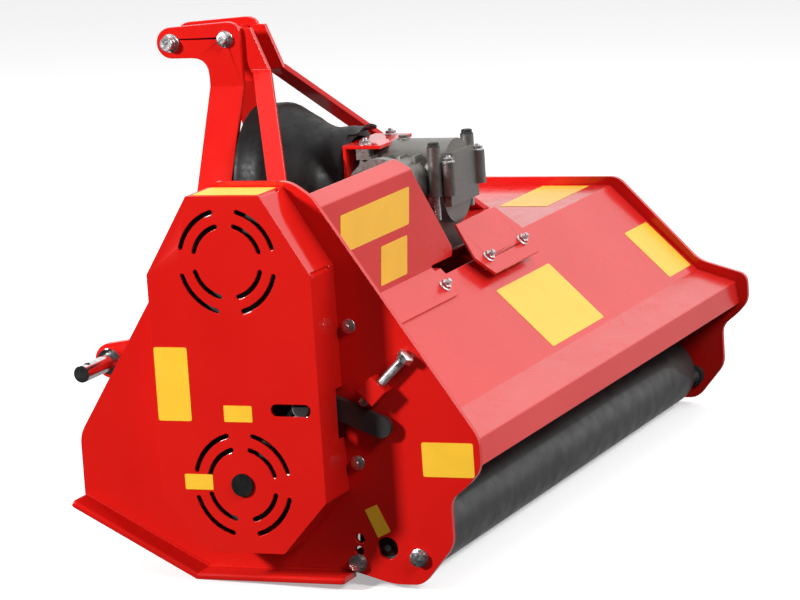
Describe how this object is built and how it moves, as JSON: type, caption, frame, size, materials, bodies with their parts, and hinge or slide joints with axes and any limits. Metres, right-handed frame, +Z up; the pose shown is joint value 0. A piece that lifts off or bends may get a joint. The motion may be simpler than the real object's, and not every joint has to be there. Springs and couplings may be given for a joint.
{
  "type": "flail mower",
  "caption": "Three-point flail mower: tall and low side plates, hood, geared cross shaft, covered belt drive to a flail rotor, rear ground roller, skids and headstock.",
  "frame": {"origin": "under the middle of the bounding box, on the floor", "axes": "+X to the machine's right, +Y forward to the tractor, +Z up"},
  "size_m": [1.189, 0.6534, 0.6108],
  "materials": {
    "red_paint": "gloss",
    "zinc": "zinc plated",
    "chrome": "bright",
    "cast_alloy": "as cast",
    "black_rubber": "matte",
    "steel": "machined",
    "dark_iron": "dull",
    "black_paint": "satin"
  },
  "bodies": {
    "frame": {"left_side_plate": "red_paint", "right_side_plate": "red_paint", "hood_sheet": "red_paint", "front_beam": "red_paint", "front_deflector": "red_paint", "shaft_guard": "red_paint", "access_plate": "red_paint", "headstock_plate_left": "red_paint", "headstock_plate_right": "red_paint", "headstock_brace_left": "red_paint", "headstock_brace_right": "red_paint", "top_link_pin": "zinc", "headstock_bolt": "zinc", "headstock_spacer": "red_paint", "hitch_beam": "red_paint", "lower_lug_left": "red_paint", "lower_lug_right": "red_paint", "lower_hitch_pin_left": "chrome", "lower_hitch_pin_right": "chrome", "skid_left": "red_paint", "skid_right": "red_paint", "gearbox_casing": "cast_alloy", "gearbox_cover": "cast_alloy", "gearbox_bolts": "zinc", "shield_bracket": "red_paint", "pto_shield": "black_rubber", "shaft_tube": "red_paint", "drive_bearing": "steel", "drive_belts": "black_rubber", "belt_cover": "red_paint", "cover_cap": "black_rubber", "stud_nuts": "zinc", "tension_boss": "red_paint", "tension_pivot": "zinc", "rotor_bearing_left": "dark_iron", "rotor_bearing_right": "dark_iron", "roller_bracket_left": "black_paint", "roller_bracket_right": "black_paint", "plate_bolts": "zinc"},
    "rotor": {"rotor": "dark_iron", "rotor_lugs": "dark_iron", "flail_pins": "zinc", "rotor_pulley": "dark_iron"},
    "drive_shaft": {"drive_shaft": "steel", "drive_pulley": "dark_iron"},
    "input_shaft": {"input_shaft": "steel"},
    "roller": {"roller": "black_paint"},
    "tensioner_arm": {"tensioner_arm": "black_paint"},
    "idler": {"idler_pulley": "steel"},
    "tension_bolt": {"tension_bolt": "zinc"},
    "flail_01": {"flail_01": "dark_iron"},
    "flail_02": {"flail_02": "dark_iron"},
    "flail_03": {"flail_03": "dark_iron"},
    "flail_04": {"flail_04": "dark_iron"},
    "flail_05": {"flail_05": "dark_iron"},
    "flail_06": {"flail_06": "dark_iron"},
    "flail_07": {"flail_07": "dark_iron"},
    "flail_08": {"flail_08": "dark_iron"},
    "flail_09": {"flail_09": "dark_iron"},
    "flail_10": {"flail_10": "dark_iron"}
  },
  "joints": [
    {"name": "rotor_spin", "type": "hinge", "parent": "frame", "child": "rotor", "pos_m": [0.0165, -0.04906, 0.13329], "axis": [1, 0, 0], "continuous": true},
    {"name": "drive_shaft_spin", "type": "hinge", "parent": "frame", "child": "drive_shaft", "pos_m": [-0.2835, -0.03552, 0.40395], "axis": [1, 0, 0], "continuous": true},
    {"name": "input_spin", "type": "hinge", "parent": "frame", "child": "input_shaft", "pos_m": [0.0165, -0.03552, 0.40395], "axis": [0, 0.9987, -0.05], "continuous": true},
    {"name": "roller_spin", "type": "hinge", "parent": "frame", "child": "roller", "pos_m": [0.0165, -0.20542, 0.05], "axis": [1, 0, 0], "continuous": true},
    {"name": "tensioner_pivot", "type": "hinge", "parent": "frame", "child": "tensioner_arm", "pos_m": [-0.5285, -0.12073, 0.29207], "axis": [1, 0, 0], "range_deg": [-5, 0]},
    {"name": "idler_spin", "type": "hinge", "parent": "tensioner_arm", "child": "idler", "pos_m": [-0.5615, -0.12383, 0.23015], "axis": [1, 0, 0], "continuous": true},
    {"name": "tension_screw", "type": "slide", "parent": "frame", "child": "tension_bolt", "axis": [0, -0.6837, 0.7298], "range_m": [0, 0.0075]},
    {"name": "flail_01_swing", "type": "hinge", "parent": "rotor", "child": "flail_01", "pos_m": [-0.4335, -0.11278, 0.11606], "axis": [1, 0, 0], "range_deg": [-80, 80]},
    {"name": "flail_02_swing", "type": "hinge", "parent": "rotor", "child": "flail_02", "pos_m": [-0.3335, -0.01299, 0.07802], "axis": [1, 0, 0], "range_deg": [-80, 80]},
    {"name": "flail_03_swing", "type": "hinge", "parent": "rotor", "child": "flail_03", "pos_m": [-0.2335, -0.00765, 0.18468], "axis": [1, 0, 0], "range_deg": [-80, 80]},
    {"name": "flail_04_swing", "type": "hinge", "parent": "rotor", "child": "flail_04", "pos_m": [-0.1335, -0.11074, 0.15679], "axis": [1, 0, 0], "range_deg": [-80, 80]},
    {"name": "flail_05_swing", "type": "hinge", "parent": "rotor", "child": "flail_05", "pos_m": [-0.0335, -0.05237, 0.06737], "axis": [1, 0, 0], "range_deg": [-80, 80]},
    {"name": "flail_06_swing", "type": "hinge", "parent": "rotor", "child": "flail_06", "pos_m": [0.0665, 0.01465, 0.15052], "axis": [1, 0, 0], "range_deg": [-80, 80]},
    {"name": "flail_07_swing", "type": "hinge", "parent": "rotor", "child": "flail_07", "pos_m": [0.1665, -0.08514, 0.18856], "axis": [1, 0, 0], "range_deg": [-80, 80]},
    {"name": "flail_08_swing", "type": "hinge", "parent": "rotor", "child": "flail_08", "pos_m": [0.2665, -0.09048, 0.0819], "axis": [1, 0, 0], "range_deg": [-80, 80]},
    {"name": "flail_09_swing", "type": "hinge", "parent": "rotor", "child": "flail_09", "pos_m": [0.3665, 0.01261, 0.10978], "axis": [1, 0, 0], "range_deg": [-80, 80]},
    {"name": "flail_10_swing", "type": "hinge", "parent": "rotor", "child": "flail_10", "pos_m": [0.4665, -0.04577, 0.1992], "axis": [1, 0, 0], "range_deg": [-80, 80]}
  ],
  "couplings": [
    {"joint": "drive_shaft_spin", "follows": "rotor_spin", "ratio": 0.8},
    {"joint": "input_spin", "follows": "rotor_spin", "ratio": 0.26667},
    {"joint": "idler_spin", "follows": "rotor_spin", "ratio": -4.2857},
    {"joint": "tension_screw", "follows": "tensioner_pivot", "m_per_rad": -0.0849}
  ]
}
